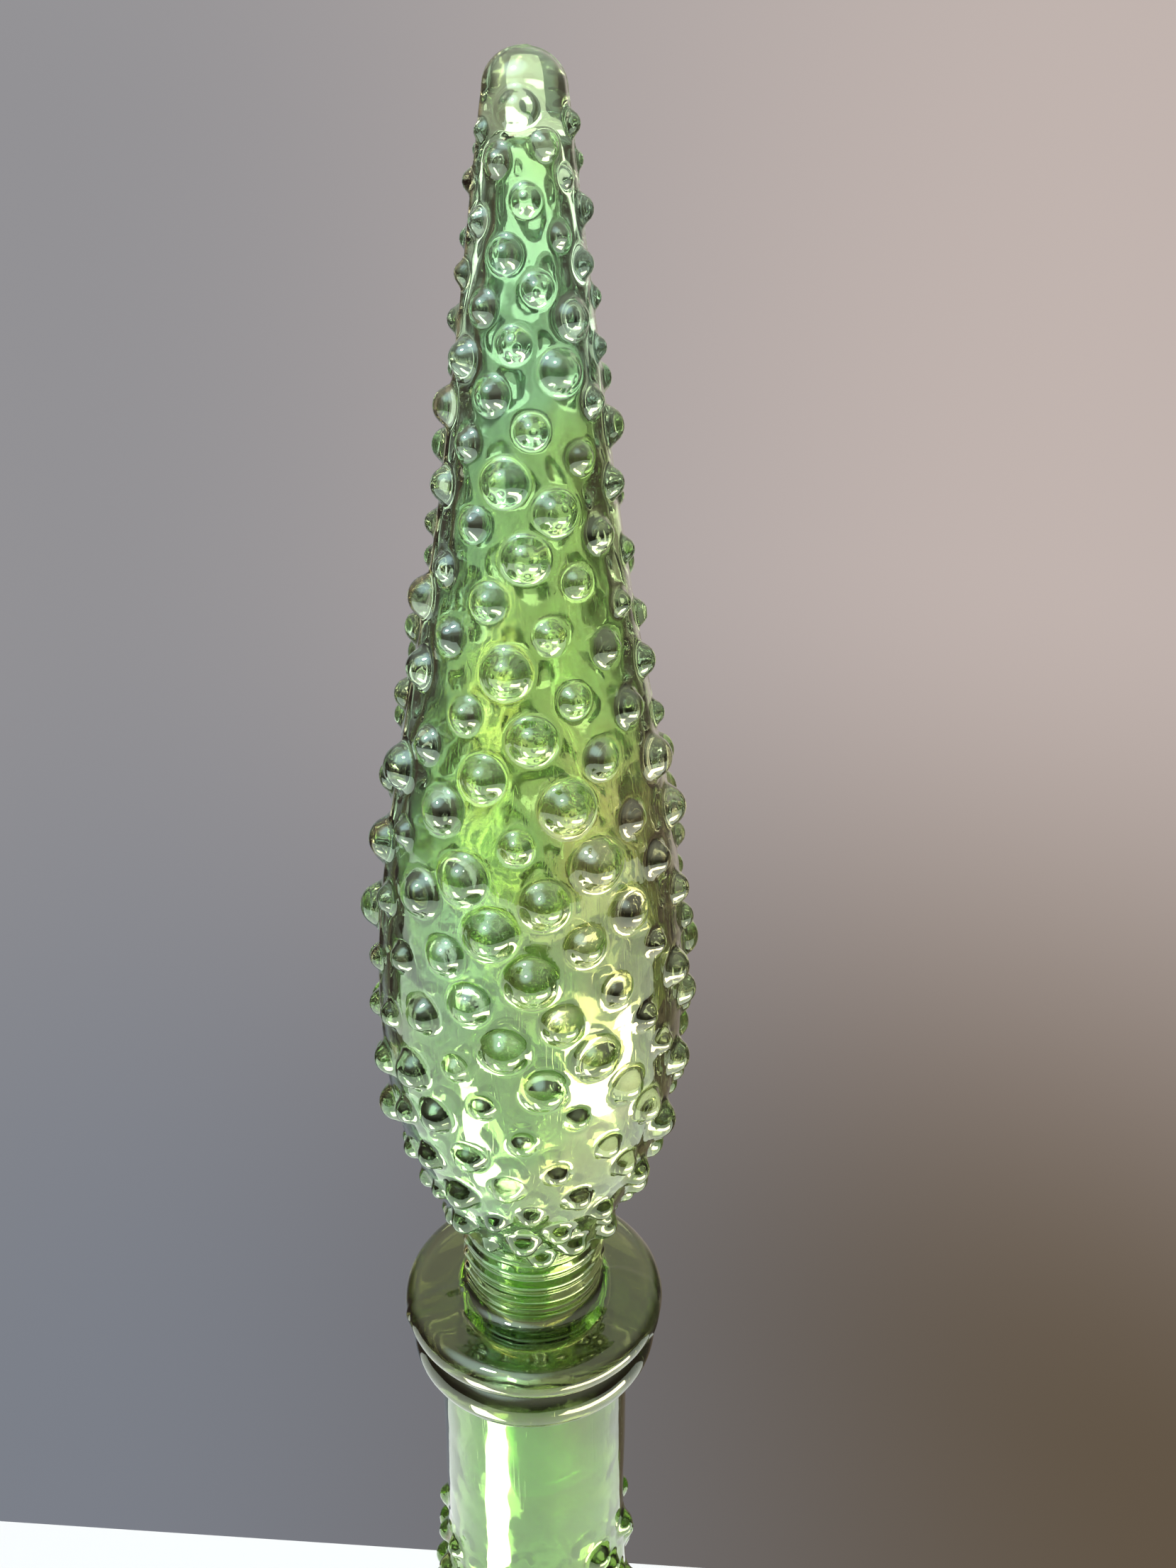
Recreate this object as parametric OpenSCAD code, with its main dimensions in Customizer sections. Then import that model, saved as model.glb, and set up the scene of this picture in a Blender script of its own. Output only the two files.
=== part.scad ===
// Hobnail glass decanter with a tall, hollow hobnail stopper.
// The origin is the centre of the foot's resting face. +Z runs up the bottle's axis to the stopper's tip.
// The glass of each piece is drawn by region: foot, bowl, belly, shoulder, neck and lip for the bottle,
// and plug, flange, shank and finial for the stopper. Regions of one piece meet face to face.

/* [Bottle] */
// Radius of the belly's glass at its widest
belly_r = 59; // [54:0.5:62]
// Height of the widest part of the belly
belly_z = 82; // [76:1:88]
// Outer radius of the smooth neck
neck_r = 18.6; // [18.2:0.1:19.4]
// Height at which the hobnails end and the smooth neck begins
neck_z = 288; // [280:1:292]
// Thickness of the glass in the belly
belly_wall = 3.4; // [2.6:0.1:4]
// Radius of the bore through the neck
bore_r = 14.4; // [14.2:0.1:15]

/* [Foot] */
// Radius of the foot where it rests
foot_r = 38; // [34:0.5:40]
// Height of the foot
foot_h = 12; // [10:0.5:14]
// Radius of the hollow under the foot
punt_r = 29; // [24:0.5:31]
// Depth of the hollow under the foot
punt_h = 3; // [1:0.5:5]

/* [Lip] */
// Height of the lip's underside
lip_z = 332.5; // [328:0.5:335]
// Height of the lip ring
lip_h = 10; // [8:0.5:12]
// Outer radius of the lip ring
lip_r = 23.8; // [22.8:0.1:24.2]

/* [Stopper] */
// Gap between the lip and the resting flange
seat_gap = 0.1; // [0.05:0.05:0.3]
// Thickness of the flange at its rim
rim_h = 6.4; // [5.6:0.2:7]
// How much higher the flange is at the shank than at its rim
flange_rise = 1; // [0.4:0.1:1.6]
// Outer radius of the flange
flange_r = 25; // [24.4:0.1:26]
// Outer radius of the shank between the flange and the finial
shank_r = 12.7; // [12.2:0.1:13]
// Height of the shank
shank_h = 14; // [12:0.5:15]
// How far the shank's small rings stand out
ring_out = 0.7; // [0.3:0.1:1]
// Number of small rings round the shank
ring_count = 4; // [2:1:5]
// Height of the finial from the shank to the tip
finial_h = 195.5; // [182:0.5:202]
// Radius of the finial's glass at its widest
finial_r = 25.8; // [24:0.1:26.6]
// Thickness of the glass in the finial
finial_wall = 3; // [2.4:0.1:3.4]
// Length of the plug inside the neck
plug_h = 38; // [30:1:44]
// Radial gap between the plug and the bore at the plug's top
plug_gap = 0.4; // [0.3:0.1:0.8]
// Radius that the plug loses towards its lower end
plug_taper = 0.8; // [0:0.1:1.2]
// Radius of the hollow through the plug, the flange and the shank
hollow_r = 9.8; // [8:0.1:10]

/* [Hobnails] */
// Share of its own patch of glass that a hobnail's diameter spans
hob_share = 0.66; // [0.56:0.01:0.78]
// How much the hobnails differ in diameter
hob_variety = 0.3; // [0:0.01:0.36]
// Height of a hobnail as a share of its diameter
hob_rise = 0.4; // [0.3:0.01:0.46]
// How far a hobnail may stray from its even place, as a share of its patch
hob_stray = 0.07; // [0:0.01:0.1]
// How deep a hobnail's flat back sits in the glass
hob_sink = 1; // [0.6:0.1:1.4]
// Most that a hobnail's diameter may be, as a share of the radius of the glass there
hob_most = 1.1; // [0.9:0.05:1.2]

/* [Hidden] */
$fn = 96;
golden_turn = 137.508;
bottle_seed = 1;
finial_seed = 7;
line_steps = 4;
arc_steps = 8;
bottle_glass = "yellowgreen";
stopper_glass = "limegreen";

// Heights that the regions share
shoulder_z = 186;
floor_z = 28;
floor_thick = 5;
seat_z = lip_z + lip_h + seat_gap;
shank_z = seat_z + rim_h + flange_rise;
finial_z = shank_z + shank_h;
tip_z = finial_z + finial_h;

// Outline of the bottle's outside, as heights and radii from the foot up to the smooth neck
bottle_keys = [
    [foot_h, foot_r + 1], [foot_h + 18, belly_r * 0.86], [belly_z - 24, belly_r * 0.975], [belly_z, belly_r],
    [belly_z + 30, belly_r * 0.95], [150, belly_r * 0.77], [shoulder_z, belly_r * 0.55],
    [222, neck_r + 5.6], [256, neck_r + 1.8], [neck_z, neck_r]];

// Outline of the finial's outside, as heights above the shank and radii
finial_keys = [
    [0, shank_r + 0.1], [finial_h * 0.055, finial_r * 0.685], [finial_h * 0.11, finial_r * 0.845],
    [finial_h * 0.17, finial_r * 0.955], [finial_h * 0.24, finial_r], [finial_h * 0.33, finial_r * 0.99],
    [finial_h * 0.42, finial_r * 0.91], [finial_h * 0.51, finial_r * 0.785],
    [finial_h * 0.67, finial_r * 0.545], [finial_h * 0.825, finial_r * 0.37],
    [finial_h * 0.945, finial_r * 0.245], [finial_h * 0.976, finial_r * 0.21]];

// A smooth line through key points: each stretch is a cubic that leaves and meets its keys
// along the chord between the keys on either side
function between(a, b, c, d, t) =
    b + ((c - a) * t + (2 * a - 5 * b + 4 * c - d) * t * t + (3 * b - a - 3 * c + d) * t * t * t) / 2;
function smooth_line(keys) =
    let (last = len(keys) - 1)
    [for (i = [0 : last - 1], k = [0 : line_steps - 1])
        between(keys[max(i - 1, 0)], keys[i], keys[i + 1], keys[min(i + 2, last)], k / line_steps),
    keys[last]];

// The part of a line between two heights, with its ends on them
function stretch(line, low, high) = concat(
    [[low, lookup(low, line)]], [for (p = line) if (p[0] > low + 0.5 && p[0] < high - 0.5) p],
    [[high, lookup(high, line)]]);
function backwards(line) = [for (i = [len(line) - 1 : -1 : 0]) line[i]];
function inset(line, wall) = [for (p = line) [p[0], p[1] - lookup(p[0], wall)]];

// A quarter of an ellipse that closes a hollow on the axis, from its side to its middle
function closing(z, r, depth) = [for (i = [1 : arc_steps])
    [z + depth * sin(90 * i / arc_steps), i == arc_steps ? 0 : r * cos(90 * i / arc_steps)]];

bottle_line = smooth_line(bottle_keys);
bottle_patch = [[foot_h, 11], [belly_z, 13], [shoulder_z, 10.4], [neck_z, 7.6]];
bottle_wall = [[foot_h, belly_wall], [shoulder_z, belly_wall], [neck_z, neck_r - bore_r]];
bottle_inside = inset(bottle_line, bottle_wall);
finial_line = [for (p = smooth_line(finial_keys)) p + [finial_z, 0]];
tip_line_z = finial_line[len(finial_line) - 1][0];
tip_line_r = finial_line[len(finial_line) - 1][1];
finial_inside = inset(finial_line, [[finial_z, shank_r + 0.1 - hollow_r], [finial_z + 8, finial_wall],
    [tip_z, finial_wall]]);
hollow_top_z = finial_z + finial_h * 0.935;
finial_patch = [[finial_z, 6.6], [finial_z + 14, 8], [finial_z + 34, 9.3], [finial_z + 95, 10],
    [tip_z - 80, 9], [tip_z - 50, 8], [tip_z - 25, 6.6], [tip_z, 5.2]];

// Turns an outline of heights and radii about the axis
module turned(line) {
    rotate_extrude() polygon([for (p = line) [p[1], p[0]]]);
}

// A number from 0 to 1 that looks random and is the same each time
function chance(k, seed) =
    let (x = abs(sin(k * 127.1 + seed * 311.7)) * 43758.5453)
    x - floor(x);

// Slope of a line at a height: 0 where the wall is upright
function slope(line, z) = atan((lookup(z + 1, line) - lookup(z - 1, line)) / 2);

// Places of the hobnails on a line: each is a golden turn from the one before, and as much higher as
// gives it a square patch of glass of its own, as wide as patch says there. Each entry is height,
// angle and diameter.
function hob_places(line, low, high, patch, seed) = [
    for (k = 0, z = low; z < high;
        z = z + pow(lookup(z, patch), 2) * cos(slope(line, z)) / (2 * PI * lookup(z, line)), k = k + 1)
        let (side = lookup(z, patch), stray = side * hob_stray)
        [z + stray * (2 * chance(k, seed) - 1),
        k * golden_turn + atan(stray * (2 * chance(k, seed + 1) - 1) / lookup(z, line)),
        min(side * hob_share * (1 + hob_variety * (pow(chance(k, seed + 2), 1.3) - 0.5) * 2),
            hob_most * lookup(z, line))]];

bottle_hobs = hob_places(bottle_line, foot_h + 8, neck_z - 2, bottle_patch, bottle_seed);
finial_hobs = hob_places(finial_line, finial_z + 3, tip_z - 5.5, finial_patch, finial_seed);

// Part of a ball that is d wide where it leaves the glass and hob_rise times d high
module hobnail(d) {
    ball_r = d * (0.25 + pow(hob_rise, 2)) / (2 * hob_rise);
    difference() {
        translate([0, 0, hob_rise * d - ball_r]) sphere(r = ball_r);
        translate([-d, -d, -2 * d - hob_sink]) cube(2 * d);
    }
}

module hobnails(line, places) {
    for (p = places) {
        rotate([0, 0, p[1]]) translate([lookup(p[0], line), 0, p[0]])
            rotate([0, 90 + slope(line, p[0]), 0]) hobnail(p[2]);
    }
}

// Thick foot with a rounded edge and a hollow underside
module bottle_foot() {
    edge = 3;
    color(bottle_glass) difference() {
        rotate_extrude() {
            polygon([[0, 0], [foot_r - edge, 0], [foot_r - 0.9, 0.9], [foot_r, edge],
                [foot_r - 0.6, foot_h - 4], [foot_r + 1, foot_h], [0, foot_h]]);
        }
        cylinder(h = 2 * punt_h, r = punt_r, center = true);
    }
}

// Lower half of the bulb, with the bottle's inner floor
module bottle_bowl() {
    floor_r = lookup(floor_z, bottle_inside);
    color(bottle_glass) turned(concat(
        stretch(bottle_line, foot_h, belly_z),
        backwards(stretch(bottle_inside, floor_z, belly_z)),
        closing(floor_z, floor_r, foot_h + floor_thick - floor_z),
        [[foot_h, 0]]));
}

// Upper half of the bulb
module bottle_belly() {
    color(bottle_glass) turned(concat(
        stretch(bottle_line, belly_z, shoulder_z), backwards(stretch(bottle_inside, belly_z, shoulder_z))));
}

// Flaring part between the belly and the smooth neck
module bottle_shoulder() {
    color(bottle_glass) turned(concat(
        stretch(bottle_line, shoulder_z, neck_z), backwards(stretch(bottle_inside, shoulder_z, neck_z))));
}

// Smooth neck, with the bore that takes the plug
module bottle_neck() {
    color(bottle_glass) translate([0, 0, neck_z]) difference() {
        cylinder(h = lip_z - neck_z, r = neck_r);
        translate([0, 0, -1]) cylinder(h = lip_z - neck_z + 2, r = bore_r);
    }
}

// Ring with a round rim, bored like the neck
module bottle_lip() {
    color(bottle_glass) translate([0, 0, lip_z]) difference() {
        rounded_disc(lip_r, lip_h);
        translate([0, 0, -1]) cylinder(h = lip_h + 2, r = bore_r);
    }
}

// A disc whose rim is a half circle
module rounded_disc(r, h) {
    rotate_extrude() {
        square([r - h / 2, h]);
        intersection() {
            translate([r - h / 2, h / 2]) circle(d = h);
            translate([r - h / 2, 0]) square([h, h]);
        }
    }
}

module belly_hobnails() {
    color(bottle_glass) hobnails(bottle_line, [for (p = bottle_hobs) if (p[0] < shoulder_z) p]);
}

module shoulder_hobnails() {
    color(bottle_glass) hobnails(bottle_line, [for (p = bottle_hobs) if (p[0] >= shoulder_z) p]);
}

// Hollow plug, a little narrower at its open lower end
module stopper_plug() {
    color(stopper_glass) translate([0, 0, seat_z - plug_h]) difference() {
        cylinder(h = plug_h, r1 = bore_r - plug_gap - plug_taper, r2 = bore_r - plug_gap);
        translate([0, 0, -1]) cylinder(h = plug_h + 2, r = hollow_r);
    }
}

// Wide disc that rests on the lip, a little higher at its middle
module stopper_flange() {
    color(stopper_glass) translate([0, 0, seat_z]) difference() {
        union() {
            rounded_disc(flange_r, rim_h);
            translate([0, 0, rim_h]) cylinder(h = flange_rise, r1 = flange_r - rim_h / 2, r2 = shank_r);
        }
        translate([0, 0, -1]) cylinder(h = shank_z - seat_z + 2, r = hollow_r);
    }
}

// Short smooth shank with small rings
module stopper_shank() {
    ring_pitch = shank_h / ring_count;
    color(stopper_glass) translate([0, 0, shank_z]) difference() {
        union() {
            cylinder(h = shank_h, r = shank_r);
            for (i = [0 : ring_count - 1]) {
                translate([0, 0, (i + 0.5) * ring_pitch]) rotate_extrude()
                    translate([shank_r - 0.4, 0]) circle(r = ring_out + 0.4, $fn = 24);
            }
        }
        translate([0, 0, -1]) cylinder(h = shank_h + 2, r = hollow_r);
    }
}

// Tall hollow teardrop, closed at its tip by a dome
module stopper_finial() {
    hollow_r_top = lookup(hollow_top_z, finial_inside);
    color(stopper_glass) turned(concat(
        finial_line,
        closing(tip_line_z, tip_line_r, tip_z - tip_line_z),
        backwards(closing(hollow_top_z, hollow_r_top, hollow_r_top)),
        backwards(stretch(finial_inside, finial_z, hollow_top_z))));
}

module finial_hobnails() {
    color(stopper_glass) hobnails(finial_line, finial_hobs);
}

bottle_foot();
bottle_bowl();
bottle_belly();
bottle_shoulder();
bottle_neck();
bottle_lip();
belly_hobnails();
shoulder_hobnails();
stopper_plug();
stopper_flange();
stopper_shank();
stopper_finial();
finial_hobnails();
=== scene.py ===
import math

import bpy
import numpy as np
from mathutils import Matrix, Quaternion, Vector


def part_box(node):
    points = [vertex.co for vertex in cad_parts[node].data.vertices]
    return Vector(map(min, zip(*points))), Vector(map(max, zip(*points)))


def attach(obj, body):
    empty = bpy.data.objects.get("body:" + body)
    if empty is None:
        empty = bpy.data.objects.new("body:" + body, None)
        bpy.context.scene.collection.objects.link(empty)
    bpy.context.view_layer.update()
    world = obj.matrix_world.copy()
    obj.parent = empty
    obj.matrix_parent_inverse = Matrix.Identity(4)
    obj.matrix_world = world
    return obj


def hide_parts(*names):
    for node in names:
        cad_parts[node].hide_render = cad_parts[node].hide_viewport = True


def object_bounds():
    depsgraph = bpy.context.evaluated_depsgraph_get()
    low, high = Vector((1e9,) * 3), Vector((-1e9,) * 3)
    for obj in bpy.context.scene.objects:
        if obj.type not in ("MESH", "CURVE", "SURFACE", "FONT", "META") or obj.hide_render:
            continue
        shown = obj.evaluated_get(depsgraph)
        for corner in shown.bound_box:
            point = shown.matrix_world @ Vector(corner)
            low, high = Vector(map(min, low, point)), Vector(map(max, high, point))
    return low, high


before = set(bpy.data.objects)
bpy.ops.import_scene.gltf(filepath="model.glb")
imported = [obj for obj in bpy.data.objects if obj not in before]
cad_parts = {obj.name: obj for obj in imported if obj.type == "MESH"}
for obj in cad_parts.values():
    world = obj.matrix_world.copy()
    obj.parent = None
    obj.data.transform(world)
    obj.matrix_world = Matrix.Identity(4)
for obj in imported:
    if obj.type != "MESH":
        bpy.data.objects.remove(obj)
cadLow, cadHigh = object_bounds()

# A hobnail glass decanter with a tall hobnail stopper. The bottle and the stopper are each one closed
# skin of glass, outside and inside, worked out from an outline and from the places of the hobnails.
# Outlines are pairs of height and radius in millimetres; the front of the decanter looks along -Y.
mm = 0.001
scene = bpy.context.scene


def smoothLine(keys, steps):
    # Each stretch is a cubic through two keys, whose ends run along the chord of their neighbours
    keys = np.array(keys, float)
    t = (np.arange(steps) / steps)[:, None]
    stretches = []
    for i in range(len(keys) - 1):
        a, b, c, d = keys[[max(i - 1, 0), i, i + 1, min(i + 2, len(keys) - 1)]]
        stretches.append(b + ((c - a) * t + (2 * a - 5 * b + 4 * c - d) * t ** 2
                              + (3 * b - a - 3 * c + d) * t ** 3) / 2)
    return np.concatenate(stretches + [keys[-1:]])


def spacedAlong(outline, spacing):
    # Points on an outline at equal steps along it, no more than spacing apart
    outline = np.array(outline, float)
    length = np.concatenate([[0], np.cumsum(np.hypot(*np.diff(outline, axis=0).T))])
    count = max(int(math.ceil(length[-1] / spacing)), 1)
    at = np.linspace(0, length[-1], count + 1)
    return np.stack([np.interp(at, length, outline[:, 0]), np.interp(at, length, outline[:, 1])], 1)


def arc(centreZ, centreR, radiusZ, radiusR, start, end, steps):
    # Points on an ellipse; 0 degrees points out from the axis and 90 up
    a = np.radians(np.linspace(start, end, steps))
    return np.stack([centreZ + radiusZ * np.sin(a), centreR + radiusR * np.cos(a)], 1)


def radiusAt(line, z):
    # The outline's radius at a height, straight between its points
    return np.interp(z, line[:, 0], line[:, 1])


def chance(k, seed):
    # The share left over after the whole number of a large multiple of a sine
    x = abs(math.sin(math.radians(k * 127.1 + seed * 311.7))) * 43758.5453
    return x - math.floor(x)


goldenDegrees = 137.508     # a full turn parted by the golden ratio

hobRule = {
    "share": 0.66,      # of its own patch of glass that a hobnail's diameter spans
    "variety": 0.3,     # of its diameter, either way
    "bias": 1.3,        # over 1 gives more small hobnails than large ones
    "stray": 0.07,      # of its patch, either way
    "most": 1.1,        # times the radius of the glass there
    "rise": 0.4,        # of its diameter
    "steepest": 1.7,    # slope at which the ball of a hobnail turns into a cone
}


def hobPlaces(line, low, high, patch, seed):
    # Each hobnail is a golden turn on from the last, and as much higher as gives it its own square patch
    patch = np.array(patch)
    z, k, places = low, 0, []
    while z < high:
        side = np.interp(z, patch[:, 0], patch[:, 1])
        stray = side * hobRule["stray"]
        lean = math.atan((radiusAt(line, z + 1) - radiusAt(line, z - 1)) / 2)
        sideways = math.atan(stray * (2 * chance(k, seed + 1) - 1) / radiusAt(line, z))
        turn = math.radians(k * goldenDegrees) + sideways
        spread = 1 + hobRule["variety"] * (chance(k, seed + 2) ** hobRule["bias"] - 0.5) * 2
        wide = min(side * hobRule["share"] * spread, hobRule["most"] * radiusAt(line, z))
        places.append((z + stray * (2 * chance(k, seed) - 1), turn, wide))
        z += side ** 2 * math.cos(lean) / (2 * math.pi * radiusAt(line, z))
        k += 1
    return places


def raiseHobs(points, normals, line, places, fillet):
    # The height over the glass is that of a ball, out to where it is as steep as steepest, and of a cone
    # beyond. It meets the glass in a fillet: where two heights differ by less than fillet, the larger
    # gains the square of what is left over, divided by four fillets.
    steepest = hobRule["steepest"]
    cosine = 1 / math.hypot(1, steepest)
    sine = steepest * cosine
    best = np.zeros(len(points))
    push = normals.copy()
    for z, turn, wide in places:
        lean = math.atan((radiusAt(line, z + 1) - radiusAt(line, z - 1)) / 2)
        out = np.array([math.cos(turn) * math.cos(lean), math.sin(turn) * math.cos(lean), -math.sin(lean)])
        centre = np.array([radiusAt(line, z) * math.cos(turn), radiusAt(line, z) * math.sin(turn), z])
        near = np.flatnonzero(np.abs(points[:, 2] - z) < wide)
        near = near[((points[near] - centre) ** 2).sum(1) < wide ** 2]
        away = points[near] - centre
        drop = away @ out
        across = np.sqrt(np.maximum((away ** 2).sum(1) - drop ** 2, 0))
        top = hobRule["rise"] * wide
        ball = (steepest * wide / 2 - top) / (steepest * sine - (1 - cosine))
        height = top - ball + np.sqrt(np.maximum(ball ** 2 - np.minimum(across, ball * sine) ** 2, 0))
        height -= steepest * np.maximum(across - ball * sine, 0) + drop
        blend = np.maximum(fillet - np.abs(height), 0) ** 2 / (4 * fillet)
        height = np.maximum(height, 0) + blend
        higher = height > best[near]
        best[near[higher]] = height[higher]
        push[near[higher]] = out
    return points + push * best[:, None]


def revolve(outline, columns):
    # x and y are the radius times the cosine and sine of the turn; z is the outline's height
    turn = np.arange(columns) * 2 * math.pi / columns
    z, r = outline[:, 0, None], outline[:, 1, None]
    points = np.stack([r * np.cos(turn), r * np.sin(turn), z + 0 * turn], 2)
    along = np.gradient(outline, axis=0)
    along /= np.maximum(np.hypot(along[:, 0], along[:, 1]), 1e-9)[:, None]
    normals = np.stack([along[:, 0, None] * np.cos(turn), along[:, 0, None] * np.sin(turn),
                        -along[:, 1, None] + 0 * turn], 2)
    return points.reshape(-1, 3), normals.reshape(-1, 3)


def ripple(points, normals, size, depth, seed):
    # Slow waves in the glass: a sum of sines of place along seeded directions, size apart
    rng = np.random.default_rng(seed)
    wave = np.zeros(len(points))
    for scale in (1, 0.55, 0.3):
        for _ in range(3):
            way = rng.normal(size=3)
            way /= np.linalg.norm(way)
            wave += scale * np.sin(points @ way * 2 * math.pi / (size * scale) + rng.uniform(0, 6.28))
    return points + normals * (wave * depth / 5)[:, None]


def raiseSeams(points, normals, seams):
    # A mould seam is a low rounded ridge down the glass: its height falls off as a bell curve of the
    # distance round the glass from the seam. A seam's place is in degrees from the front, at its heights.
    turn = np.degrees(np.arctan2(points[:, 0], -points[:, 1]))
    radius = np.hypot(points[:, 0], points[:, 1])
    for seam in seams:
        at = np.interp(points[:, 2], seam["heights"], seam["degrees"])
        apart = np.radians((turn - at + 180) % 360 - 180) * radius
        points = points + normals * (seam["height"] * np.exp(-(apart / seam["width"]) ** 2))[:, None]
    return points


class Skin:
    # Rings of points about the axis, joined ring to ring. Neighbouring rings may differ in count: each
    # group of as many points as their counts share makes one face.
    def __init__(self):
        self.points, self.faces, self.rings, self.total = [], [], [], 0

    def addRings(self, points, columns):
        for row in range(len(points) // columns):
            self.rings.append((self.total + row * columns, columns))
        self.points.append(points)
        self.total += len(points)

    def join(self, ringA, ringB):
        (startA, countA), (startB, countB) = self.rings[ringA], self.rings[ringB]
        groups = math.gcd(countA, countB)
        a, b = countA // groups, countB // groups
        g = np.arange(groups)[:, None]
        lower = startA + (g * a + np.arange(a + 1)) % countA
        upper = startB + (g * b + np.arange(b, -1, -1)) % countB
        self.faces.append(np.hstack([lower, upper]))

    def joinRings(self):
        for ring in range(len(self.rings) - 1):
            self.join(ring, ring + 1)

    def closeEnd(self, ring, z, flip):
        # A fan of triangles from a ring to one point on the axis
        start, count = self.rings[ring]
        self.points.append(np.array([(0, 0, z)], float))
        a = start + np.arange(count)
        b = start + (np.arange(count) + 1) % count
        middle = np.full(count, self.total)
        self.faces.append(np.stack([b, a, middle] if flip else [a, b, middle], 1))
        self.total += 1

    def mesh(self, name):
        made = bpy.data.meshes.new(name)
        faces = [face for block in self.faces for face in block.tolist()]
        made.from_pydata((np.concatenate(self.points) * mm).tolist(), [], faces)
        made.update()
        made.shade_smooth()
        return made


def addPiece(name, skin, material, replaced):
    # The piece rides the body of its own name and stands in for that body's CAD nodes
    piece = bpy.data.objects.new(name, skin.mesh(name))
    scene.collection.objects.link(piece)
    piece.data.materials.append(material)
    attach(piece, name)
    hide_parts(*replaced)
    print(name, "made of", len(piece.data.vertices), "points")


def addNode(tree, kind, **values):
    # Inputs are given by name, or by _ and a number; a value is a socket to link or a plain setting
    node = tree.nodes.new("ShaderNode" + kind)
    for name, value in values.items():
        if name == "operation":
            node.operation = value
            continue
        socket = node.inputs[int(name[1:]) if name[1:].isdigit() else name.replace("_", " ")]
        if isinstance(value, bpy.types.NodeSocket):
            tree.links.new(value, socket)
        else:
            socket.default_value = value
    return node


def mask(tree, value, low, high):
    # 0 below low, 1 above high, and an S curve between them
    ranged = tree.nodes.new("ShaderNodeMapRange")
    ranged.interpolation_type = "SMOOTHSTEP"
    tree.links.new(value, ranged.inputs["Value"])
    ranged.inputs["From Min"].default_value = low
    ranged.inputs["From Max"].default_value = high
    return ranged.outputs["Result"]


def mixColours(tree, factor, a, b):
    # a where the factor is 0, b where it is 1
    mix = tree.nodes.new("ShaderNodeMix")
    mix.data_type = "RGBA"
    tree.links.new(factor, mix.inputs["Factor"])
    for value, socket in ((a, mix.inputs[6]), (b, mix.inputs[7])):
        if isinstance(value, bpy.types.NodeSocket):
            tree.links.new(value, socket)
        else:
            socket.default_value = value
    return mix.outputs[2]


tanSeamDegrees = -75                # from the front
seamTurn = math.radians(tanSeamDegrees)
seamOut = (math.sin(seamTurn), -math.cos(seamTurn), 0)
seamAcross = (math.cos(seamTurn), math.sin(seamTurn), 0)

# Where each colour of the lustre stands: cloud values at which a mask starts and is full, and metres
lustreRule = {
    "tealCloud": (0.46, 0.62),
    "goldCloud": (0.53, 0.68),
    # Painted reflection: the teal leans to the cool light's side and the gold to the warm light's side
    "lean": 4.0,                    # how much the teal leans to the left and the gold to the right
    # The low tint is painted shade, green, over the low part of the finial
    "paintedShadeHeights": (0.36, 0.47),     # between which the low tint fades out
    "seamEdge": (0.0013, 0.0004),   # distances from the seam's middle
    "seamSide": (0.002, 0.004),     # distances out from the axis, on the seam's own side
    "goldShift": (0.37, 0.11, 0.23),
    "fineScale": 260.0,
    "scratchStretch": (900.0, 900.0, 60.0),
    "scratchDepth": 0.35,           # of the fine waves
    "scratchCloud": (0.66, 0.72),
    "scratchedCloud": (0.45, 0.6),  # where on the glass there are scratches at all
    "smearScale": 70.0,
    "smearCloud": (0.5, 0.7),
}


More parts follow.
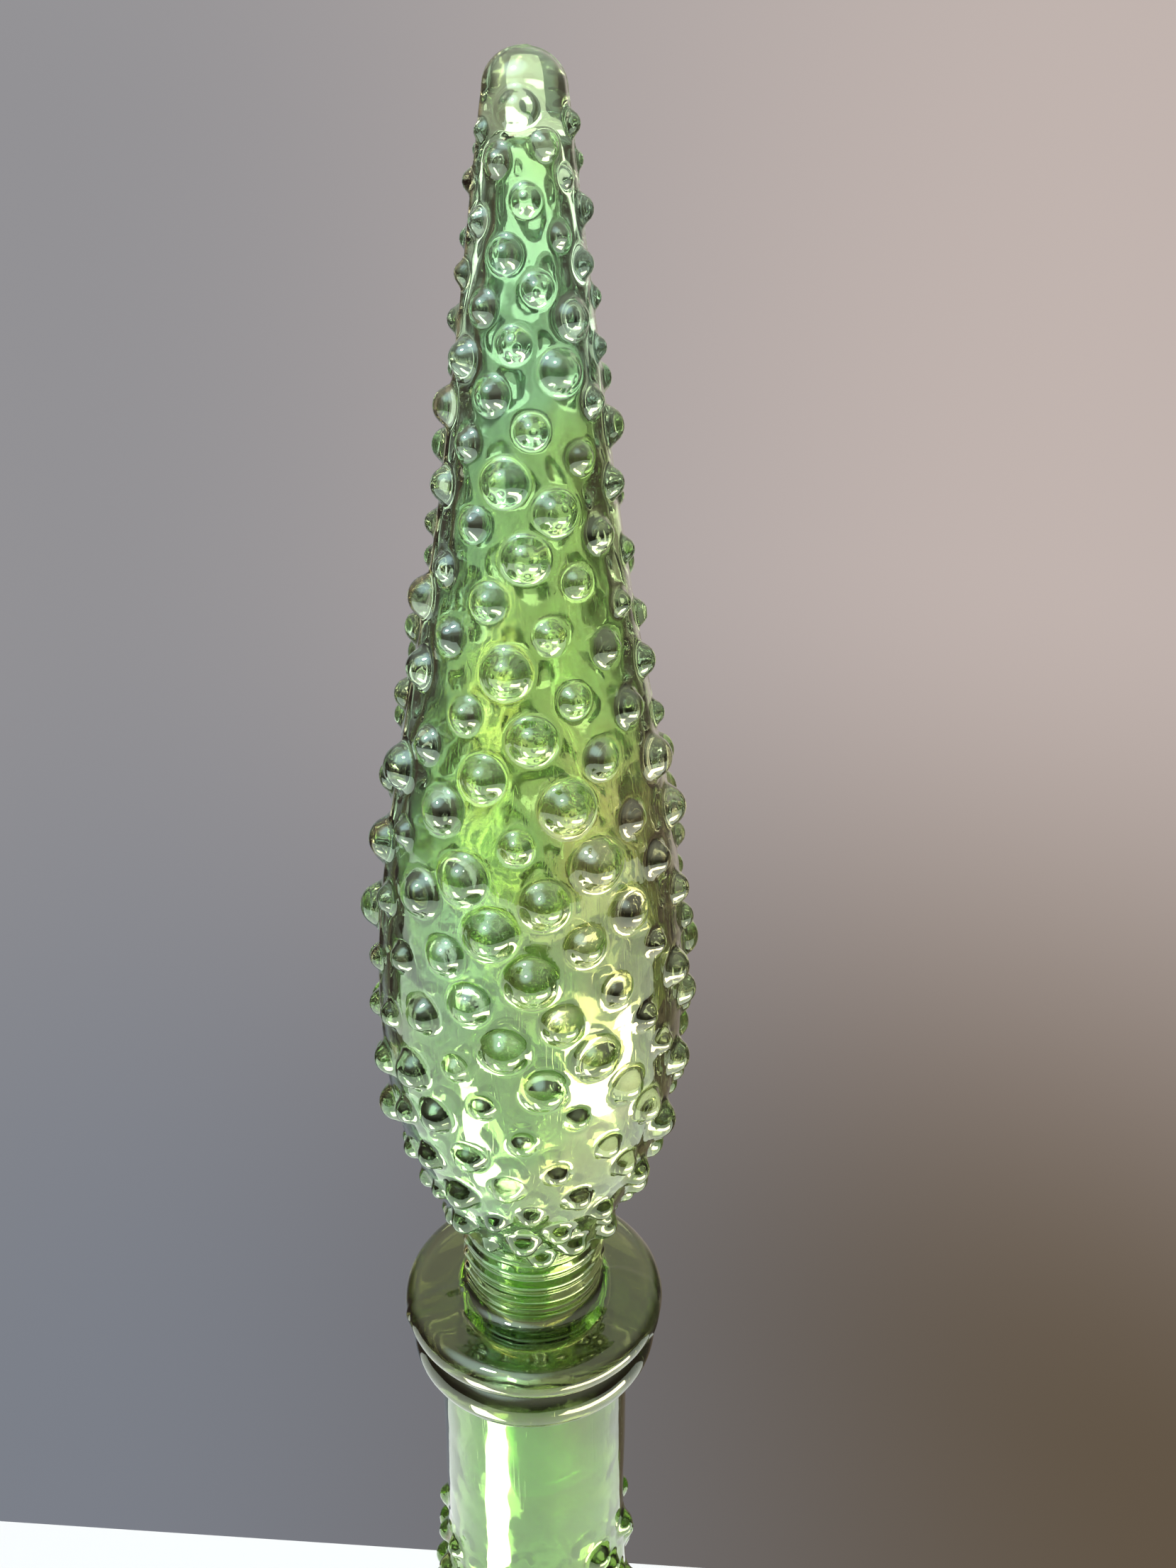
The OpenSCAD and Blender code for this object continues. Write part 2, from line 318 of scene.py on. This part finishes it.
def makeLustre():
    # The glass drifts over the surface in soft clouds between two greens and a gold. The clouds lean, teal
    # to
    # the left and gold to the right: a painted reflection of the cool light on the left and the warm light
    # on the right.
    # Below the given low heights the colour is multiplied by a painted shade, green; a tan seam runs down
    # one side, and the thick rings between two heights have a colour of their own.
    # Waviness and fine scratches come out as a height, and smears of handling as a roughness.
    rule = lustreRule
    group = bpy.data.node_groups.new("lustre", "ShaderNodeTree")
    face = group.interface
    for name in ("Green", "Teal", "Gold", "Painted Low Shade", "Seam", "Thick"):
        face.new_socket(name, in_out="INPUT", socket_type="NodeSocketColor")
    for name in ("Cloud Scale", "Thick Low", "Thick High", "Roughness", "Smear"):
        face.new_socket(name, in_out="INPUT", socket_type="NodeSocketFloat")
    face.new_socket("Colour", in_out="OUTPUT", socket_type="NodeSocketColor")
    face.new_socket("Roughness", in_out="OUTPUT", socket_type="NodeSocketFloat")
    face.new_socket("Height", in_out="OUTPUT", socket_type="NodeSocketFloat")
    given, result = group.nodes.new("NodeGroupInput"), group.nodes.new("NodeGroupOutput")
    place = group.nodes.new("ShaderNodeTexCoord").outputs["Object"]

    axes = addNode(group, "SeparateXYZ", Vector=place)
    cloud = addNode(group, "TexNoise", Vector=place, Scale=given.outputs["Cloud Scale"], Detail=1.5)
    # The clouds are the glass's own tones; their lean with X, teal left and gold right, is painted
    # reflection of the cool and warm lights
    cloudWithPaintedSide = addNode(group, "Math", operation="MULTIPLY_ADD", _0=axes.outputs["X"], _1=-rule["lean"],
                      _2=cloud.outputs["Fac"]).outputs[0]
    tealMask = mask(group, cloudWithPaintedSide, *rule["tealCloud"])
    shifted = addNode(group, "VectorMath", operation="ADD", _0=place, _1=rule["goldShift"])
    goldCloud = addNode(group, "TexNoise", Vector=shifted.outputs[0], Scale=given.outputs["Cloud Scale"],
                        Detail=3.0, Distortion=0.6)
    cloudWithPaintedSide = addNode(group, "Math", operation="MULTIPLY_ADD", _0=axes.outputs["X"], _1=rule["lean"],
                      _2=goldCloud.outputs["Fac"]).outputs[0]
    goldMask = mask(group, cloudWithPaintedSide, *rule["goldCloud"])
    colour = mixColours(group, tealMask, given.outputs["Green"], given.outputs["Teal"])
    colour = mixColours(group, goldMask, colour, given.outputs["Gold"])
    # Painted shade, green, multiplies the colour below the low heights
    abovePaintedShade = mask(group, axes.outputs["Z"], *rule["paintedShadeHeights"])
    paintedLowShade = mixColours(group, abovePaintedShade, given.outputs["Painted Low Shade"], (1, 1, 1, 1))
    colour = addNode(group, "VectorMath", operation="MULTIPLY", _0=colour, _1=paintedLowShade).outputs[0]
    # The seam stands in an upright plane through the axis, and only on its own side
    across = addNode(group, "VectorMath", operation="DOT_PRODUCT", _0=place, _1=seamAcross).outputs["Value"]
    across = addNode(group, "Math", operation="ABSOLUTE", _0=across).outputs[0]
    outward = addNode(group, "VectorMath", operation="DOT_PRODUCT", _0=place, _1=seamOut).outputs["Value"]
    seamMask = addNode(group, "Math", operation="MULTIPLY", _0=mask(group, across, *rule["seamEdge"]),
                       _1=mask(group, outward, *rule["seamSide"])).outputs[0]
    colour = mixColours(group, seamMask, colour, given.outputs["Seam"])
    aboveLow = addNode(group, "Math", operation="GREATER_THAN", _0=axes.outputs["Z"],
                       _1=given.outputs["Thick Low"]).outputs[0]
    belowHigh = addNode(group, "Math", operation="LESS_THAN", _0=axes.outputs["Z"],
                        _1=given.outputs["Thick High"]).outputs[0]
    thickMask = addNode(group, "Math", operation="MULTIPLY", _0=aboveLow, _1=belowHigh).outputs[0]
    colour = mixColours(group, thickMask, colour, given.outputs["Thick"])

    fine = addNode(group, "TexNoise", Vector=place, Scale=rule["fineScale"], Detail=2.0)
    stretched = addNode(group, "VectorMath", operation="MULTIPLY", _0=place, _1=rule["scratchStretch"])
    hair = addNode(group, "TexNoise", Vector=stretched.outputs[0], Scale=1.0, Detail=0.0, Distortion=1.5)
    scratch = mask(group, hair.outputs["Fac"], *rule["scratchCloud"])
    patchy = mask(group, goldCloud.outputs["Fac"], *rule["scratchedCloud"])
    scratch = addNode(group, "Math", operation="MULTIPLY", _0=scratch, _1=patchy).outputs[0]
    height = addNode(group, "Math", operation="MULTIPLY_ADD", _0=scratch, _1=-rule["scratchDepth"],
                     _2=fine.outputs["Fac"]).outputs[0]

    smears = addNode(group, "TexNoise", Vector=place, Scale=rule["smearScale"], Detail=4.0, Distortion=1.2)
    smeared = mask(group, smears.outputs["Fac"], *rule["smearCloud"])
    smear = addNode(group, "Math", operation="MULTIPLY", _0=smeared, _1=given.outputs["Smear"]).outputs[0]
    rough = addNode(group, "Math", operation="ADD", _0=given.outputs["Roughness"], _1=smear).outputs[0]
    group.links.new(colour, result.inputs["Colour"])
    group.links.new(rough, result.inputs["Roughness"])
    group.links.new(height, result.inputs["Height"])
    return group


lustre = makeLustre()
print("lustre made of", len(lustre.nodes), "nodes")


def glassMaterial(name, look):
    # Tinted clear glass with a little metal in it, under a hard coat that stands in for the lustre film
    material = bpy.data.materials.new(name)
    material.use_nodes = True
    tree = material.node_tree
    shader = tree.nodes["Principled BSDF"]
    group = tree.nodes.new("ShaderNodeGroup")
    group.node_tree = lustre
    for socket, value in (("Green", "green"), ("Teal", "teal"), ("Gold", "gold"), ("Painted Low Shade", "paintedLowShade"),
                          ("Seam", "seam"), ("Thick", "thick"), ("Thick Low", "thickLow"),
                          ("Thick High", "thickHigh"), ("Cloud Scale", "cloudScale"),
                          ("Roughness", "roughness"), ("Smear", "smear")):
        group.inputs[socket].default_value = look[value]
    tree.links.new(group.outputs["Colour"], shader.inputs["Base Color"])
    tree.links.new(group.outputs["Roughness"], shader.inputs["Roughness"])
    shader.inputs["Specular Tint"].default_value = look["edgeTint"]
    bump = tree.nodes.new("ShaderNodeBump")
    bump.inputs["Strength"].default_value = look["bumpStrength"]
    bump.inputs["Distance"].default_value = look["bump"]
    tree.links.new(group.outputs["Height"], bump.inputs["Height"])
    tree.links.new(bump.outputs["Normal"], shader.inputs["Normal"])
    for socket in ("IOR", "Metallic", "Transmission Weight", "Coat Weight", "Coat Roughness", "Coat IOR"):
        shader.inputs[socket].default_value = look[socket]
    return material


stopperLook = {
    "green": (0.68, 0.88, 0.48, 1),
    "teal": (0.62, 0.87, 0.64, 1),
    "gold": (0.86, 0.86, 0.54, 1),
    "thick": (0.36, 0.40, 0.17, 1),
    # Painted shade: darkens and greens the colour low on the finial
    "paintedLowShade": (0.78, 0.97, 0.62, 1),   # times the colour, low on the finial
    "seam": (0.62, 0.46, 0.28, 1),
    "edgeTint": (0.74, 0.96, 0.54, 1),
    "thickLow": 0.331,      # height in metres at which the lip and flange start
    "thickHigh": 0.351,
    "cloudScale": 16.0,
    "roughness": 0.04,
    "smear": 0.10,
    "bump": 0.0001,         # metres
    "bumpStrength": 0.5,
    "IOR": 1.5,
    "Metallic": 0.16,
    "Transmission Weight": 1.0,
    "Coat Weight": 1.0,
    "Coat Roughness": 0.02,
    "Coat IOR": 1.7,
}

bottleLook = dict(stopperLook, green=(0.36, 0.64, 0.11, 1), teal=(0.46, 0.78, 0.26, 1),
                  gold=(0.26, 0.42, 0.09, 1), paintedLowShade=(1, 1, 1, 1), roughness=0.06)


def inMm(node):
    # The low and high corners of a node's box, in millimetres
    low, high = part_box(node)
    return low / mm, high / mm


stopperShape = {
    # The finial's outline over the shank, in shares of its height and of its widest radius
    "finialShares": [(0.055, 0.685), (0.11, 0.845), (0.17, 0.955), (0.24, 1), (0.33, 0.99), (0.42, 0.91),
                     (0.51, 0.785), (0.67, 0.545), (0.825, 0.37), (0.945, 0.245), (0.976, 0.21)],
    "wall": 3.0,
    "wallGrows": 8,         # height over the shank in which the wall reaches its thickness
    "shankRadius": 12.7,
    "shankGap": 0.1,        # by which the finial starts outside the shank
    "cove": 2.6,            # of the hollow curve between the flange and the shank
    "coveOut": 2.4,
    "rimThick": 6.4,
    "ringOut": 0.7,
    "rings": 4,
    "hollow": 9.8,          # radius of the bore through the plug, the flange and the shank
    "hollowShare": 0.935,   # of the finial's height, up to which it is hollow
    "plugTaper": 0.8,
    "hobsFrom": 3,          # over the shank
    "hobsTo": 5.5,          # below the tip
    "hobSeed": 7,
    "fillet": 0.9,          # round each hobnail
    "mainColumns": 288,
    "smoothColumns": 144,
    "hollowColumns": 72,
    "mainSpacing": 0.62,    # between rows of points
    "tipSpacing": 0.6,
    "hollowSpacing": 2.2,
    "tipFrom": 120,         # height over the shank at which the columns are halved
    # Size, depth and seed of the slow waves in the glass
    "hollowWaves": (11, 0.5, 8),
    "flangeWaves": (14, 0.12, 3),
    "finialWaves": (16, 0.16, 5),
}

stopperSeams = [
    {"heights": (343, 560), "degrees": (tanSeamDegrees, tanSeamDegrees), "height": 0.35, "width": 1.0},
    {"heights": (345, 350, 560), "degrees": (62, 90, 97), "height": 0.3, "width": 0.55},
]


def flangeLine(s):
    # Plug, flange and shank, from the plug's open end up to the finial. The flange's top rises inwards as a
    # quarter of a sine, and the shank's rings are a power of the size of a sine of height.
    seat, rim, top = inMm("stopper_flange")[0].z, inMm("stopper_flange")[1].x, inMm("stopper_flange")[1].z
    plugLow, plugHigh = inMm("stopper_plug")
    base = inMm("stopper_finial")[0].z
    plugTop, plugEnd = plugHigh.x, plugHigh.x - s["plugTaper"]
    half = s["rimThick"] / 2
    shelf = np.linspace(0, 1, 7)[1:]
    inner = s["shankRadius"] + s["cove"]
    shankZ = np.linspace(top + s["cove"], base - 0.2, 40)
    wave = np.abs(np.sin(math.pi * s["rings"] * (shankZ - top) / (base - top)))
    return np.concatenate([
        [(plugLow.z, s["hollow"] + 0.6)],
        arc(plugLow.z + 1, plugEnd - 1, 1, 1, -90, 0, 6),
        spacedAlong([(plugLow.z + 2, plugEnd), (seat - 1, plugTop)], 4),
        [(seat, plugTop + 0.4)],
        spacedAlong([(seat, plugTop + 1.5), (seat, rim - half)], 2),
        arc(seat + half, rim - half, half, half, -80, 90, 24)[1:],
        np.stack([seat + 2 * half + (top - seat - 2 * half) * np.sin(shelf * math.pi / 2),
                  rim - half + (inner - rim + half) * shelf], 1),
        arc(top + s["cove"], inner, s["cove"], s["coveOut"], 258, 186, 8),
        np.stack([shankZ, s["shankRadius"] + s["ringOut"] * wave ** 1.5], 1)])


def makeStopper():
    s = stopperShape
    base, tip = inMm("stopper_finial")[0].z, inMm("stopper_finial")[1].z
    tall, wide = tip - base, inMm("stopper_finial")[1].x
    foot = s["shankRadius"] + s["shankGap"]
    keys = [(0, foot)] + [(up * tall, out * wide) for up, out in s["finialShares"]]
    layLine = smoothLine(keys, 4) + [base, 0]
    line = smoothLine(keys, 24) + [base, 0]
    # Side of the square patch that each hobnail has to itself, by height
    patch = [(base, 6.6), (base + 14, 8), (base + 34, 9.3), (base + 95, 10), (tip - 80, 9), (tip - 50, 8),
             (tip - 25, 6.6), (tip, 5.2)]
    places = hobPlaces(layLine, base + s["hobsFrom"], tip - s["hobsTo"], patch, s["hobSeed"])
    dome = arc(line[-1, 0], 0, tip - line[-1, 0], line[-1, 1], 0, 86, 14)
    outer = np.concatenate([line, dome[1:]])

    # Hollow, from the tip's inside down to the plug's open end
    insideLine = line[line[:, 0] < base + s["hollowShare"] * tall]
    wall = np.interp(insideLine[:, 0], [base, base + s["wallGrows"]], [foot - s["hollow"], s["wall"]])
    inside = np.stack([insideLine[:, 0], insideLine[:, 1] - wall], 1)
    insideTop = arc(inside[-1, 0], 0, inside[-1, 1], inside[-1, 1], 84, 0, 8)
    plugEnd = inMm("stopper_plug")[0].z
    inside = np.concatenate([insideTop[:-1], inside[::-1], [(plugEnd + 0.6, s["hollow"])]])

    skin = Skin()
    smooth, main = s["smoothColumns"], s["mainColumns"]
    points, normals = revolve(spacedAlong(inside, s["hollowSpacing"]), s["hollowColumns"])
    skin.addRings(ripple(points, normals, *s["hollowWaves"]), s["hollowColumns"])
    skin.closeEnd(0, inside[0, 0] + 0.05, True)
    points, normals = revolve(flangeLine(s), smooth)
    points = raiseSeams(points, normals, stopperSeams)
    skin.addRings(ripple(points, normals, *s["flangeWaves"]), smooth)
    split = base + s["tipFrom"]
    for low, high, columns, spacing in ((base, split, main, s["mainSpacing"]),
                                        (split, tip, smooth, s["tipSpacing"])):
        part = outer[(outer[:, 0] >= low) & (outer[:, 0] < high)]
        points, normals = revolve(spacedAlong(part, spacing), columns)
        points = raiseSeams(ripple(points, normals, *s["finialWaves"]), normals, stopperSeams)
        skin.addRings(raiseHobs(points, normals, layLine, places, s["fillet"]), columns)
    skin.joinRings()
    skin.closeEnd(-1, tip, False)
    return skin


addPiece("stopper", makeStopper(), glassMaterial("stopperGlass", stopperLook),
         ["stopper_plug", "stopper_flange", "stopper_shank", "stopper_finial", "finial_hobnails"])

bottleShape = {
    "footRadius": 38,
    "widest": 82,           # height of the widest part
    "wall": 3.4,
    "bore": 14.4,
    "floorFrom": 28,
    "floorThick": 5,
    "puntRadius": 29,
    "puntDepth": 3,
    "hobSeed": 1,
    "fillet": 1.2,
    "bellyColumns": 288,
    "neckColumns": 192,
    "hollowColumns": 96,
    "bellySpacing": 1.3,    # between rows of points
    "shoulderSpacing": 0.8,
    "hollowSpacing": 2.4,
    # Size, depth and seed of the slow waves
    "bulbWaves": (24, 0.2, 4),
    "neckWaves": (18, 0.12, 9),
    "hollowWaves": (15, 0.4, 12),
}


def footLine(s):
    # From the middle of the hollow under the foot out to its edge and up to the belly
    punt, deep, foot = s["puntRadius"], s["puntDepth"], s["footRadius"]
    return np.concatenate([
        spacedAlong([(deep, 2), (deep, punt - 2)], 5),
        arc(deep - 1.5, punt - 1.5, 1.5, 1.5, 80, 0, 5),
        arc(1, punt + 1, 1, 1, 180, 270, 5),
        spacedAlong([(0, punt + 2), (0, foot - 3)], 2),
        arc(3, foot - 3, 3, 3, -80, 0, 9),
        [(5, foot), (7, foot - 0.4), (9, foot - 0.5), (10.6, foot - 0.1), (11.6, foot + 0.6)]])


def neckLine(s, neckFrom, neck):
    # From the last hobnails up the smooth neck, round the lip ring and over into the bore
    lipLow, lipHigh = inMm("bottle_lip")
    half = (lipHigh.z - lipLow.z) / 2
    return np.concatenate([
        spacedAlong([(neckFrom + 0.5, neck), (lipLow.z - 1.4, neck)], 1.6),
        arc(lipLow.z - 1.4, neck + 1.4, 1.4, 1.4, 175, 100, 5),
        arc(lipLow.z + half, lipHigh.x - half, half, half, -85, 90, 26),
        [(lipHigh.z, lipHigh.x - half - 1), (lipHigh.z, s["bore"] + 0.8)],
        arc(lipHigh.z - 0.6, s["bore"] + 0.6, 0.6, 0.6, 100, 170, 4)])


def makeBottle():
    s = bottleShape
    foot, wide, neck = inMm("bottle_foot")[1].z, inMm("bottle_bowl")[1].x, inMm("bottle_neck")[1].x
    shoulder, neckFrom = inMm("bottle_shoulder")[0].z, inMm("bottle_neck")[0].z
    lipTop, widest = inMm("bottle_lip")[1].z, s["widest"]
    keys = [(foot, s["footRadius"] + 1), (foot + 18, wide * 0.86), (widest - 24, wide * 0.975),
            (widest, wide), (widest + 30, wide * 0.95), (150, wide * 0.77), (shoulder, wide * 0.55),
            (222, neck + 5.6), (256, neck + 1.8), (neckFrom, neck)]
    layLine, line = smoothLine(keys, 4), smoothLine(keys, 24)
    patch = [(foot, 11), (widest, 13), (shoulder, 10.4), (neckFrom, 7.6)]
    places = hobPlaces(layLine, foot + 8, neckFrom - 2, patch, s["hobSeed"])

    # Hollow, from the mouth down to the middle of the floor
    inner = line[(line[:, 0] > s["floorFrom"])]
    wall = np.interp(inner[:, 0], [foot, shoulder, neckFrom], [s["wall"], s["wall"], neck - s["bore"]])
    inner = np.stack([inner[:, 0], inner[:, 1] - wall], 1)
    floorArc = arc(inner[0, 0], 0, s["floorFrom"] - foot - s["floorThick"], inner[0, 1], 0, -88, 24)
    hollow = np.concatenate([[(lipTop - 0.9, s["bore"])],
                             spacedAlong([(lipTop - 3, s["bore"]), (neckFrom + 1, s["bore"])], 3),
                             inner[::-1][::4], floorArc[1:]])

    skin = Skin()
    points, normals = revolve(footLine(s), s["neckColumns"])
    skin.addRings(points, s["neckColumns"])
    skin.closeEnd(0, s["puntDepth"], True)
    for low, high, columns, spacing in (
            (foot, shoulder, s["bellyColumns"], s["bellySpacing"]),
            (shoulder + 0.5, neckFrom, s["neckColumns"], s["shoulderSpacing"])):
        part = line[(line[:, 0] >= low) & (line[:, 0] <= high + 0.01)]
        points, normals = revolve(spacedAlong(part, spacing), columns)
        points = ripple(points, normals, *s["bulbWaves"])
        skin.addRings(raiseHobs(points, normals, layLine, places, s["fillet"]), columns)
    points, normals = revolve(neckLine(s, neckFrom, neck), s["neckColumns"])
    skin.addRings(ripple(points, normals, *s["neckWaves"]), s["neckColumns"])
    points, normals = revolve(spacedAlong(hollow, s["hollowSpacing"]), s["hollowColumns"])
    skin.addRings(ripple(points, normals, *s["hollowWaves"]), s["hollowColumns"])
    skin.joinRings()
    skin.closeEnd(-1, floorArc[-1, 0], False)
    return skin


addPiece("bottle", makeBottle(), glassMaterial("bottleGlass", bottleLook),
         ["bottle_foot", "bottle_bowl", "bottle_belly", "bottle_shoulder", "bottle_neck", "bottle_lip",
          "belly_hobnails", "shoulder_hobnails"])

stageLook = {
    "floorWhite": (0.86, 0.85, 0.83, 1),
    "floorRough": 0.6,
    "floorBack": 0.184,         # metres from the axis to its edges
    "floorFront": 1.6,
    "floorSide": 1.6,
    "floorTurn": -6.0,
    "wallTopLeft": (0.29, 0.285, 0.30, 1),
    "wallLowLeft": (0.20, 0.215, 0.25, 1),
    "wallTopRight": (0.54, 0.46, 0.43, 1),
    "wallLowRight": (0.12, 0.09, 0.06, 1),
    "roomFront": (0.05, 0.043, 0.036, 1),
    "roomSide": (0.075, 0.055, 0.05, 1),
    "ceiling": (0.50, 0.49, 0.46, 1),
    "glow": (1.5, 1.8, 2.2, 1),
    "coolWay": (-0.42, -0.35, 0.83),    # towards the window
    "windowAway": 1.7,
    "lowWay": (0.555, -0.462, -0.694),  # towards the card low on the right
    "lowCardAway": 0.6,
    # Parts of a direction between which one colour of the room changes into the next
    "acrossWall": (-0.35, 0.42),
    "upWall": (-0.75, -0.25),
    "towardsBack": (0.1, 0.5),
    "towardsSide": (0.45, 0.7),
    "towardsCeiling": (0.0, 0.8),
    "towardsWindow": (0.8, 1.0),
}


def makeFloor():
    # One flat sheet, turned about the upright axis
    back, side = stageLook["floorBack"], stageLook["floorSide"]
    turn = Matrix.Rotation(math.radians(stageLook["floorTurn"]), 4, "Z")
    mesh = bpy.data.meshes.new("floor")
    front = -stageLook["floorFront"]
    corners = [turn @ Vector(corner) for corner in ((-side, front, 0), (side, front, 0),
                                                    (side, back, 0), (-side, back, 0))]
    mesh.from_pydata(corners, [], [(0, 1, 2, 3)])
    material = bpy.data.materials.new("floorWhite")
    material.use_nodes = True
    shader = material.node_tree.nodes["Principled BSDF"]
    shader.inputs["Base Color"].default_value = stageLook["floorWhite"]
    shader.inputs["Roughness"].default_value = stageLook["floorRough"]
    mesh.materials.append(material)
    floor = bpy.data.objects.new("floor", mesh)
    scene.collection.objects.link(floor)


def makeWorld():
    # The wall behind changes from left to right and from top to bottom. The room is dim in front and at
    # the sides, and the ceiling is bright, with a glow round the window.
    world = bpy.data.worlds.new("room")
    world.use_nodes = True
    tree = world.node_tree
    where = tree.nodes.new("ShaderNodeTexCoord")
    split = addNode(tree, "SeparateXYZ", Vector=where.outputs["Generated"])
    side = mask(tree, split.outputs["X"], *stageLook["acrossWall"])
    height = mask(tree, split.outputs["Z"], *stageLook["upWall"])
    left = mixColours(tree, height, stageLook["wallLowLeft"], stageLook["wallTopLeft"])
    right = mixColours(tree, height, stageLook["wallLowRight"], stageLook["wallTopRight"])
    wall = mixColours(tree, side, left, right)
    back = mask(tree, split.outputs["Y"], *stageLook["towardsBack"])
    room = mixColours(tree, back, stageLook["roomFront"], wall)
    sideways = addNode(tree, "Math", operation="ABSOLUTE", _0=split.outputs["X"]).outputs[0]
    beside = mask(tree, sideways, *stageLook["towardsSide"])
    room = mixColours(tree, beside, room, stageLook["roomSide"])
    above = mask(tree, split.outputs["Z"], *stageLook["towardsCeiling"])
    room = mixColours(tree, above, room, stageLook["ceiling"])
    toWindow = addNode(tree, "VectorMath", operation="DOT_PRODUCT", _0=where.outputs["Generated"],
                       _1=Vector(stageLook["coolWay"]).normalized())
    glow = mask(tree, toWindow.outputs["Value"], *stageLook["towardsWindow"])
    room = mixColours(tree, glow, room, stageLook["glow"])
    tree.links.new(room, tree.nodes["Background"].inputs["Color"])
    scene.world = world


def addPanel(name, place, back, spin, width, height, radiance, colour, mirrored=True):
    # A panel shines away from its back. Its power is its brightness times pi times its area. One that
    # isn't mirrored lights the glass without showing on it.
    data = bpy.data.lights.new(name, "AREA")
    data.shape = "RECTANGLE"
    data.size, data.size_y = width, height
    data.energy = radiance * math.pi * width * height
    data.color = colour
    light = bpy.data.objects.new(name, data)
    light.location = place
    light.rotation_mode = "QUATERNION"
    light.rotation_quaternion = back.to_track_quat("Z", "Y") @ Quaternion((0, 0, 1), math.radians(spin))
    light.visible_camera = False
    light.visible_glossy = mirrored
    scene.collection.objects.link(light)


makeFloor()
makeWorld()
middle = Vector((0, 0, 0.44))       # of what the camera sees
coolWay = Vector(stageLook["coolWay"]).normalized()
lowWay = Vector(stageLook["lowWay"]).normalized()
away, up, down = Vector((0, 1, 0)), Vector((0, 0, 1)), Vector((0, 0, -1))
addPanel("coolWindow", place=middle + stageLook["windowAway"] * coolWay, back=coolWay, spin=0,
         width=0.18, height=0.18, radiance=150, colour=(0.86, 0.93, 1.0))
addPanel("backCard", place=Vector((0, 0.75, 0.35)), back=away, spin=0,
         width=0.5, height=0.8, radiance=0.9, colour=(1.0, 0.98, 0.84), mirrored=False)
addPanel("tipCard", place=Vector((0, 0.70, 0.62)), back=away, spin=0,
         width=0.45, height=0.3, radiance=2.0, colour=(1.0, 1.0, 0.92), mirrored=False)
addPanel("softTop", place=Vector((0, 0.2, 1.3)), back=up, spin=0,
         width=0.7, height=0.7, radiance=1.8, colour=(1.0, 0.98, 0.94), mirrored=False)
addPanel("lowCardRight", place=middle + stageLook["lowCardAway"] * lowWay, back=lowWay, spin=0,
         width=0.50, height=0.24, radiance=9, colour=(1.0, 0.84, 0.66))
addPanel("lowCardLeft", place=Vector((-0.27, -0.24, 0.003)), back=down, spin=48,
         width=0.13, height=0.36, radiance=7, colour=(1.0, 0.95, 0.82))
print("floor, room and panels made")

cameraPlace = {
    "away": 0.1966,       # from the axis
    "belowTip": 0.0116,
    "pitch": 25.3,
    "yaw": 2.71,
    "roll": 0.70,
    "lens": 30.92,
    "sensor": 36,
    "nearest": 0.01,      # metres that the camera still sees
}


def makeCamera():
    # In front of the axis and just below the tip's height, turned by roll, then pitch, then yaw
    c = cameraPlace
    data = bpy.data.cameras.new("camera")
    data.lens = c["lens"]
    data.sensor_width = c["sensor"]
    data.clip_start = c["nearest"]
    camera = bpy.data.objects.new("camera", data)
    turn = (Matrix.Rotation(math.radians(-c["yaw"]), 4, "Z")
            @ Matrix.Rotation(math.radians(90 - c["pitch"]), 4, "X")
            @ Matrix.Rotation(math.radians(c["roll"]), 4, "Z"))
    camera.matrix_world = Matrix.Translation((0, -c["away"], cadHigh.z - c["belowTip"])) @ turn
    scene.collection.objects.link(camera)
    scene.camera = camera


makeCamera()
scene.view_settings.view_transform = "Standard"
print("camera made")
